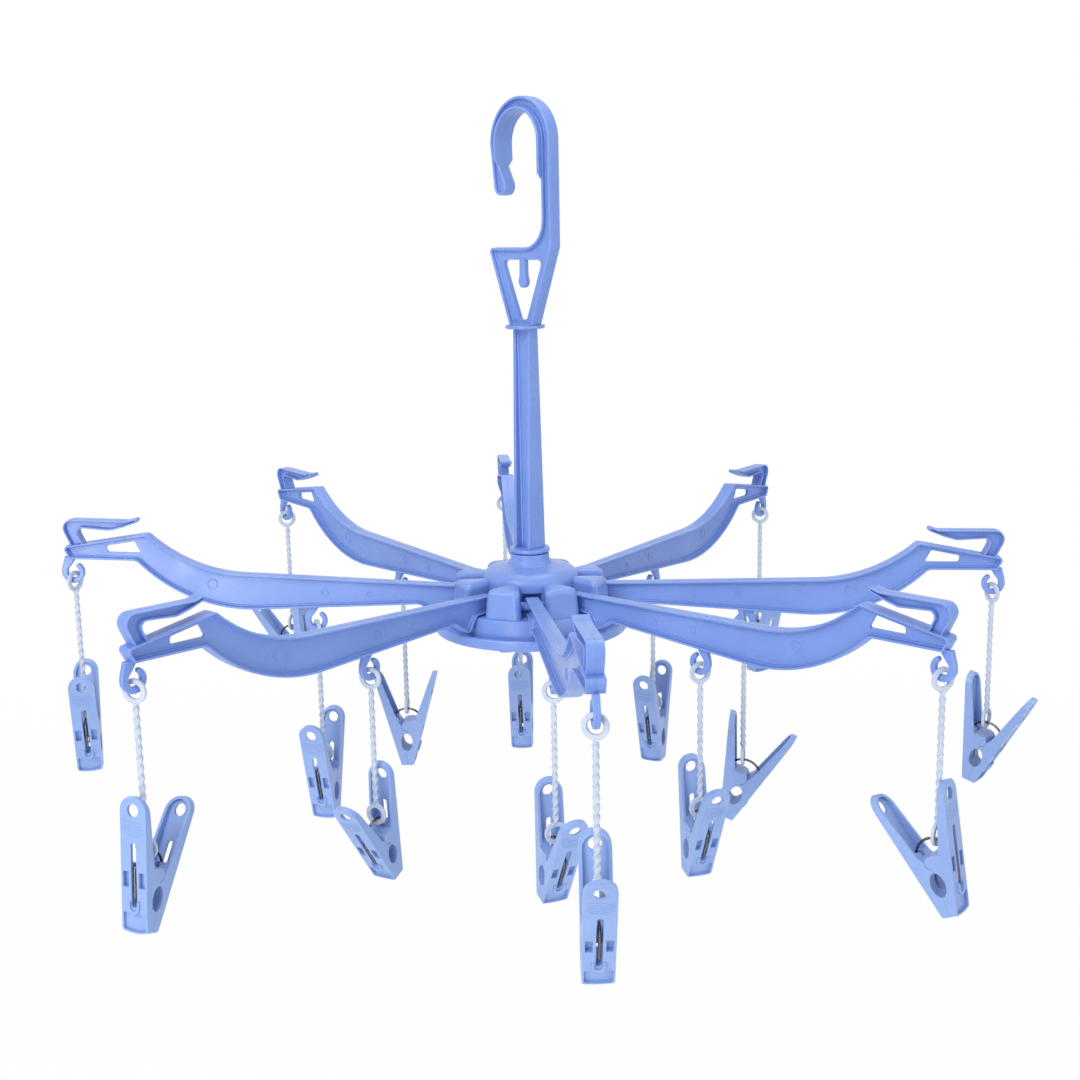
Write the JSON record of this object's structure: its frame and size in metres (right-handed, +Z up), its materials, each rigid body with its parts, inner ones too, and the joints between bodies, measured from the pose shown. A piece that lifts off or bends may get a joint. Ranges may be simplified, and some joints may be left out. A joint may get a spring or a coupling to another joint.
{
  "type": "hanging clothes dryer",
  "caption": "Hanging folding clothes dryer: hooked swivel stem, round hub with hinged radial arms, and sprung pegs that hang from the arms on short links",
  "frame": {"origin": "On the stem's and hub's axis, level with the hook's seat where the rail bears on the arch", "axes": "+Z up along the stem, -Y along the front arm, +X along the arm to its right; the hook's own plane is turned 50 degrees clockwise from +X seen from above"},
  "size_m": [0.5722, 0.5839, 0.4235],
  "materials": {
    "body_blue": "moulded polypropylene, satin sheen",
    "peg_blue": "moulded polypropylene, satin sheen",
    "link_clear": "natural translucent moulded nylon",
    "spring_steel": "bare zinc-plated spring steel"
  },
  "bodies": {
    "stem": {"stem_hook": "body_blue", "snap_ring": "spring_steel"},
    "hub": {"hub_top": "body_blue", "hub_base": "body_blue"},
    "arm_1": {"arm_1": "body_blue"},
    "arm_2": {"arm_2": "body_blue"},
    "arm_3": {"arm_3": "body_blue"},
    "arm_4": {"arm_4": "body_blue"},
    "arm_5": {"arm_5": "body_blue"},
    "arm_6": {"arm_6": "body_blue"},
    "arm_7": {"arm_7": "body_blue"},
    "arm_8": {"arm_8": "body_blue"},
    "link_outer_1": {"link_outer_1": "link_clear"},
    "peg_outer_1": {"peg_spring_outer_1": "peg_blue"},
    "jaw_outer_1": {"peg_jaw_outer_1": "peg_blue"},
    "link_outer_2": {"link_outer_2": "link_clear"},
    "peg_outer_2": {"peg_spring_outer_2": "peg_blue"},
    "jaw_outer_2": {"peg_jaw_outer_2": "peg_blue"},
    "link_outer_3": {"link_outer_3": "link_clear"},
    "peg_outer_3": {"peg_spring_outer_3": "peg_blue"},
    "jaw_outer_3": {"peg_jaw_outer_3": "peg_blue"},
    "link_outer_4": {"link_outer_4": "link_clear"},
    "peg_outer_4": {"peg_spring_outer_4": "peg_blue"},
    "jaw_outer_4": {"peg_jaw_outer_4": "peg_blue"},
    "link_outer_5": {"link_outer_5": "link_clear"},
    "peg_outer_5": {"peg_spring_outer_5": "peg_blue"},
    "jaw_outer_5": {"peg_jaw_outer_5": "peg_blue"},
    "link_outer_6": {"link_outer_6": "link_clear"},
    "peg_outer_6": {"peg_spring_outer_6": "peg_blue"},
    "jaw_outer_6": {"peg_jaw_outer_6": "peg_blue"},
    "link_outer_7": {"link_outer_7": "link_clear"},
    "peg_outer_7": {"peg_spring_outer_7": "peg_blue"},
    "jaw_outer_7": {"peg_jaw_outer_7": "peg_blue"},
    "link_outer_8": {"link_outer_8": "link_clear"},
    "peg_outer_8": {"peg_spring_outer_8": "peg_blue"},
    "jaw_outer_8": {"peg_jaw_outer_8": "peg_blue"},
    "link_inner_1": {"link_inner_1": "link_clear"},
    "peg_inner_1": {"peg_spring_inner_1": "peg_blue"},
    "jaw_inner_1": {"peg_jaw_inner_1": "peg_blue"},
    "link_inner_2": {"link_inner_2": "link_clear"},
    "peg_inner_2": {"peg_spring_inner_2": "peg_blue"},
    "jaw_inner_2": {"peg_jaw_inner_2": "peg_blue"},
    "link_inner_3": {"link_inner_3": "link_clear"},
    "peg_inner_3": {"peg_spring_inner_3": "peg_blue"},
    "jaw_inner_3": {"peg_jaw_inner_3": "peg_blue"},
    "link_inner_4": {"link_inner_4": "link_clear"},
    "peg_inner_4": {"peg_spring_inner_4": "peg_blue"},
    "jaw_inner_4": {"peg_jaw_inner_4": "peg_blue"},
    "link_inner_5": {"link_inner_5": "link_clear"},
    "peg_inner_5": {"peg_spring_inner_5": "peg_blue"},
    "jaw_inner_5": {"peg_jaw_inner_5": "peg_blue"},
    "link_inner_6": {"link_inner_6": "link_clear"},
    "peg_inner_6": {"peg_spring_inner_6": "peg_blue"},
    "jaw_inner_6": {"peg_jaw_inner_6": "peg_blue"},
    "link_inner_7": {"link_inner_7": "link_clear"},
    "peg_inner_7": {"peg_spring_inner_7": "peg_blue"},
    "jaw_inner_7": {"peg_jaw_inner_7": "peg_blue"},
    "link_inner_8": {"link_inner_8": "link_clear"},
    "peg_inner_8": {"peg_spring_inner_8": "peg_blue"},
    "jaw_inner_8": {"peg_jaw_inner_8": "peg_blue"}
  },
  "joints": [
    {"name": "stem_swivel", "type": "hinge", "parent": "stem", "child": "hub", "pos_m": [0, 0, -0.267], "axis": [0, 0, 1], "continuous": true},
    {"name": "arm_1_fold", "type": "hinge", "parent": "hub", "child": "arm_1", "pos_m": [0, -0.035, -0.2728], "axis": [-0.9963, -0.0858, 0], "range_deg": [0, 75]},
    {"name": "arm_2_fold", "type": "hinge", "parent": "hub", "child": "arm_2", "pos_m": [0.02475, -0.02475, -0.2728], "axis": [-0.7182, -0.6958, 0], "range_deg": [0, 75]},
    {"name": "arm_3_fold", "type": "hinge", "parent": "hub", "child": "arm_3", "pos_m": [0.035, 0, -0.2728], "axis": [-0.07, -0.9975, 0], "range_deg": [0, 75]},
    {"name": "arm_4_fold", "type": "hinge", "parent": "hub", "child": "arm_4", "pos_m": [0.02475, 0.02475, -0.2728], "axis": [0.7778, -0.6285, 0], "range_deg": [0, 75]},
    {"name": "arm_5_fold", "type": "hinge", "parent": "hub", "child": "arm_5", "pos_m": [0, 0.035, -0.2728], "axis": [0.9984, 0.0568, 0], "range_deg": [0, 75]},
    {"name": "arm_6_fold", "type": "hinge", "parent": "hub", "child": "arm_6", "pos_m": [-0.02475, 0.02475, -0.2728], "axis": [0.7844, 0.6202, 0], "range_deg": [0, 75]},
    {"name": "arm_7_fold", "type": "hinge", "parent": "hub", "child": "arm_7", "pos_m": [-0.035, 0, -0.2728], "axis": [0.0515, 0.9987, 0], "range_deg": [0, 75]},
    {"name": "arm_8_fold", "type": "hinge", "parent": "hub", "child": "arm_8", "pos_m": [-0.02475, -0.02475, -0.2728], "axis": [-0.721, 0.6929, 0], "range_deg": [0, 75]},
    {"name": "link_outer_1_swing", "type": "hinge", "parent": "arm_1", "child": "link_outer_1", "pos_m": [0.02004, -0.26756, -0.25953], "axis": [0.9963, 0.0858, 0], "range_deg": [-30, 50]},
    {"name": "link_outer_2_swing", "type": "hinge", "parent": "arm_2", "child": "link_outer_2", "pos_m": [0.18738, -0.19262, -0.26728], "axis": [0.7182, 0.6958, 0], "range_deg": [-30, 50]},
    {"name": "link_outer_3_swing", "type": "hinge", "parent": "arm_3", "child": "link_outer_3", "pos_m": [0.26822, -0.01637, -0.27095], "axis": [0.07, 0.9975, 0], "range_deg": [-30, 50]},
    {"name": "link_outer_4_swing", "type": "hinge", "parent": "arm_4", "child": "link_outer_4", "pos_m": [0.17162, 0.20651, -0.26565], "axis": [-0.7778, 0.6285, 0], "range_deg": [-30, 50]},
    {"name": "link_outer_5_swing", "type": "hinge", "parent": "arm_5", "child": "link_outer_5", "pos_m": [-0.01328, 0.26824, -0.26361], "axis": [-0.9984, -0.0568, 0], "range_deg": [-30, 50]},
    {"name": "link_outer_6_swing", "type": "hinge", "parent": "arm_6", "child": "link_outer_6", "pos_m": [-0.16954, 0.20787, -0.25994], "axis": [-0.7844, -0.6202, 0], "range_deg": [-30, 50]},
    {"name": "link_outer_7_swing", "type": "hinge", "parent": "arm_7", "child": "link_outer_7", "pos_m": [-0.26793, 0.01202, -0.25668], "axis": [-0.0515, -0.9987, 0], "range_deg": [-30, 50]},
    {"name": "link_outer_8_swing", "type": "hinge", "parent": "arm_8", "child": "link_outer_8", "pos_m": [-0.18658, -0.19313, -0.26198], "axis": [0.721, -0.6929, 0], "range_deg": [-30, 50]},
    {"name": "link_inner_1_swing", "type": "hinge", "parent": "arm_1", "child": "link_inner_1", "pos_m": [0.00783, -0.12593, -0.2892], "axis": [0.9963, 0.0858, 0], "range_deg": [-30, 50]},
    {"name": "link_inner_2_swing", "type": "hinge", "parent": "arm_2", "child": "link_inner_2", "pos_m": [0.08784, -0.08987, -0.29222], "axis": [0.7182, 0.6958, 0], "range_deg": [-30, 50]},
    {"name": "link_inner_3_swing", "type": "hinge", "parent": "arm_3", "child": "link_inner_3", "pos_m": [0.12514, -0.00633, -0.29364], "axis": [0.07, 0.9975, 0], "range_deg": [-30, 50]},
    {"name": "link_inner_4_swing", "type": "hinge", "parent": "arm_4", "child": "link_inner_4", "pos_m": [0.08182, 0.09538, -0.29159], "axis": [-0.7778, 0.6285, 0], "range_deg": [-30, 50]},
    {"name": "link_inner_5_swing", "type": "hinge", "parent": "arm_5", "child": "link_inner_5", "pos_m": [-0.00517, 0.12582, -0.29079], "axis": [-0.9984, -0.0568, 0], "range_deg": [-30, 50]},
    {"name": "link_inner_6_swing", "type": "hinge", "parent": "arm_6", "child": "link_inner_6", "pos_m": [-0.08134, 0.09632, -0.28936], "axis": [-0.7844, -0.6202, 0], "range_deg": [-30, 50]},
    {"name": "link_inner_7_swing", "type": "hinge", "parent": "arm_7", "child": "link_inner_7", "pos_m": [-0.12634, 0.00471, -0.28809], "axis": [-0.0515, -0.9987, 0], "range_deg": [-30, 50]},
    {"name": "link_inner_8_swing", "type": "hinge", "parent": "arm_8", "child": "link_inner_8", "pos_m": [-0.08787, -0.09043, -0.29016], "axis": [0.721, -0.6929, 0], "range_deg": [-30, 50]},
    {"name": "peg_outer_1_swing", "type": "hinge", "parent": "link_outer_1", "child": "peg_outer_1", "pos_m": [0.02004, -0.26756, -0.34162], "axis": [0, -1, 0], "range_deg": [-25, 25]},
    {"name": "peg_outer_2_swing", "type": "hinge", "parent": "link_outer_2", "child": "peg_outer_2", "pos_m": [0.18738, -0.19262, -0.34937], "axis": [-0.766, 0.6428, 0], "range_deg": [-25, 25]},
    {"name": "peg_outer_3_swing", "type": "hinge", "parent": "link_outer_3", "child": "peg_outer_3", "pos_m": [0.26822, -0.01637, -0.35304], "axis": [0.766, -0.6428, 0], "range_deg": [-25, 25]},
    {"name": "peg_outer_4_swing", "type": "hinge", "parent": "link_outer_4", "child": "peg_outer_4", "pos_m": [0.17162, 0.20651, -0.34774], "axis": [-0.5, 0.866, 0], "range_deg": [-25, 25]},
    {"name": "peg_outer_5_swing", "type": "hinge", "parent": "link_outer_5", "child": "peg_outer_5", "pos_m": [-0.01328, 0.26824, -0.3457], "axis": [-0.1736, 0.9848, 0], "range_deg": [-25, 25]},
    {"name": "peg_outer_6_swing", "type": "hinge", "parent": "link_outer_6", "child": "peg_outer_6", "pos_m": [-0.16954, 0.20787, -0.34203], "axis": [-0.9397, 0.342, 0], "range_deg": [-25, 25]},
    {"name": "peg_outer_7_swing", "type": "hinge", "parent": "link_outer_7", "child": "peg_outer_7", "pos_m": [-0.26793, 0.01202, -0.33877], "axis": [0.1736, -0.9848, 0], "range_deg": [-25, 25]},
    {"name": "peg_outer_8_swing", "type": "hinge", "parent": "link_outer_8", "child": "peg_outer_8", "pos_m": [-0.18658, -0.19313, -0.34407], "axis": [0.4226, 0.9063, 0], "range_deg": [-25, 25]},
    {"name": "peg_inner_1_swing", "type": "hinge", "parent": "link_inner_1", "child": "peg_inner_1", "pos_m": [0.00783, -0.12593, -0.3713], "axis": [0.342, -0.9397, 0], "range_deg": [-25, 25]},
    {"name": "peg_inner_2_swing", "type": "hinge", "parent": "link_inner_2", "child": "peg_inner_2", "pos_m": [0.08784, -0.08987, -0.37431], "axis": [0.2588, -0.9659, 0], "range_deg": [-25, 25]},
    {"name": "peg_inner_3_swing", "type": "hinge", "parent": "link_inner_3", "child": "peg_inner_3", "pos_m": [0.12514, -0.00633, -0.37573], "axis": [0.9659, -0.2588, 0], "range_deg": [-25, 25]},
    {"name": "peg_inner_4_swing", "type": "hinge", "parent": "link_inner_4", "child": "peg_inner_4", "pos_m": [0.08182, 0.09538, -0.37368], "axis": [0.4226, 0.9063, 0], "range_deg": [-25, 25]},
    {"name": "peg_inner_5_swing", "type": "hinge", "parent": "link_inner_5", "child": "peg_inner_5", "pos_m": [-0.00517, 0.12582, -0.37289], "axis": [0.0872, 0.9962, 0], "range_deg": [-25, 25]},
    {"name": "peg_inner_6_swing", "type": "hinge", "parent": "link_inner_6", "child": "peg_inner_6", "pos_m": [-0.08134, 0.09632, -0.37145], "axis": [-0.9962, 0.0872, 0], "range_deg": [-25, 25]},
    {"name": "peg_inner_7_swing", "type": "hinge", "parent": "link_inner_7", "child": "peg_inner_7", "pos_m": [-0.12634, 0.00471, -0.37018], "axis": [0.2588, 0.9659, 0], "range_deg": [-25, 25]},
    {"name": "peg_inner_8_swing", "type": "hinge", "parent": "link_inner_8", "child": "peg_inner_8", "pos_m": [-0.08787, -0.09043, -0.37225], "axis": [-0.5, -0.866, 0], "range_deg": [-25, 25]},
    {"name": "jaw_outer_1_open", "type": "hinge", "parent": "peg_outer_1", "child": "jaw_outer_1", "pos_m": [0.02004, -0.26756, -0.35452], "axis": [-1, 0, 0], "range_deg": [0, 16], "stiffness_Nm_per_rad": 0.12, "springref_deg": -28.65},
    {"name": "jaw_outer_2_open", "type": "hinge", "parent": "peg_outer_2", "child": "jaw_outer_2", "pos_m": [0.18738, -0.19262, -0.36227], "axis": [0.6428, 0.766, 0], "range_deg": [0, 16], "stiffness_Nm_per_rad": 0.12, "springref_deg": -28.65},
    {"name": "jaw_outer_3_open", "type": "hinge", "parent": "peg_outer_3", "child": "jaw_outer_3", "pos_m": [0.26822, -0.01637, -0.36594], "axis": [-0.6428, -0.766, 0], "range_deg": [0, 16], "stiffness_Nm_per_rad": 0.12, "springref_deg": -28.65},
    {"name": "jaw_outer_4_open", "type": "hinge", "parent": "peg_outer_4", "child": "jaw_outer_4", "pos_m": [0.17162, 0.20651, -0.36064], "axis": [0.866, 0.5, 0], "range_deg": [0, 16], "stiffness_Nm_per_rad": 0.12, "springref_deg": -28.65},
    {"name": "jaw_outer_5_open", "type": "hinge", "parent": "peg_outer_5", "child": "jaw_outer_5", "pos_m": [-0.01328, 0.26824, -0.3586], "axis": [0.9848, 0.1736, 0], "range_deg": [0, 16], "stiffness_Nm_per_rad": 0.12, "springref_deg": -28.65},
    {"name": "jaw_outer_6_open", "type": "hinge", "parent": "peg_outer_6", "child": "jaw_outer_6", "pos_m": [-0.16954, 0.20787, -0.35493], "axis": [0.342, 0.9397, 0], "range_deg": [0, 16], "stiffness_Nm_per_rad": 0.12, "springref_deg": -28.65},
    {"name": "jaw_outer_7_open", "type": "hinge", "parent": "peg_outer_7", "child": "jaw_outer_7", "pos_m": [-0.26793, 0.01202, -0.35167], "axis": [-0.9848, -0.1736, 0], "range_deg": [0, 16], "stiffness_Nm_per_rad": 0.12, "springref_deg": -28.65},
    {"name": "jaw_outer_8_open", "type": "hinge", "parent": "peg_outer_8", "child": "jaw_outer_8", "pos_m": [-0.18658, -0.19313, -0.35697], "axis": [0.9063, -0.4226, 0], "range_deg": [0, 16], "stiffness_Nm_per_rad": 0.12, "springref_deg": -28.65},
    {"name": "jaw_inner_1_open", "type": "hinge", "parent": "peg_inner_1", "child": "jaw_inner_1", "pos_m": [0.00783, -0.12593, -0.3842], "axis": [-0.9397, -0.342, 0], "range_deg": [0, 16], "stiffness_Nm_per_rad": 0.12, "springref_deg": -28.65},
    {"name": "jaw_inner_2_open", "type": "hinge", "parent": "peg_inner_2", "child": "jaw_inner_2", "pos_m": [0.08784, -0.08987, -0.38721], "axis": [-0.9659, -0.2588, 0], "range_deg": [0, 16], "stiffness_Nm_per_rad": 0.12, "springref_deg": -28.65},
    {"name": "jaw_inner_3_open", "type": "hinge", "parent": "peg_inner_3", "child": "jaw_inner_3", "pos_m": [0.12514, -0.00633, -0.38863], "axis": [-0.2588, -0.9659, 0], "range_deg": [0, 16], "stiffness_Nm_per_rad": 0.12, "springref_deg": -28.65},
    {"name": "jaw_inner_4_open", "type": "hinge", "parent": "peg_inner_4", "child": "jaw_inner_4", "pos_m": [0.08182, 0.09538, -0.38658], "axis": [0.9063, -0.4226, 0], "range_deg": [0, 16], "stiffness_Nm_per_rad": 0.12, "springref_deg": -28.65},
    {"name": "jaw_inner_5_open", "type": "hinge", "parent": "peg_inner_5", "child": "jaw_inner_5", "pos_m": [-0.00517, 0.12582, -0.38579], "axis": [0.9962, -0.0872, 0], "range_deg": [0, 16], "stiffness_Nm_per_rad": 0.12, "springref_deg": -28.65},
    {"name": "jaw_inner_6_open", "type": "hinge", "parent": "peg_inner_6", "child": "jaw_inner_6", "pos_m": [-0.08134, 0.09632, -0.38435], "axis": [0.0872, 0.9962, 0], "range_deg": [0, 16], "stiffness_Nm_per_rad": 0.12, "springref_deg": -28.65},
    {"name": "jaw_inner_7_open", "type": "hinge", "parent": "peg_inner_7", "child": "jaw_inner_7", "pos_m": [-0.12634, 0.00471, -0.38308], "axis": [0.9659, -0.2588, 0], "range_deg": [0, 16], "stiffness_Nm_per_rad": 0.12, "springref_deg": -28.65},
    {"name": "jaw_inner_8_open", "type": "hinge", "parent": "peg_inner_8", "child": "jaw_inner_8", "pos_m": [-0.08787, -0.09043, -0.38515], "axis": [-0.866, 0.5, 0], "range_deg": [0, 16], "stiffness_Nm_per_rad": 0.12, "springref_deg": -28.65}
  ]
}
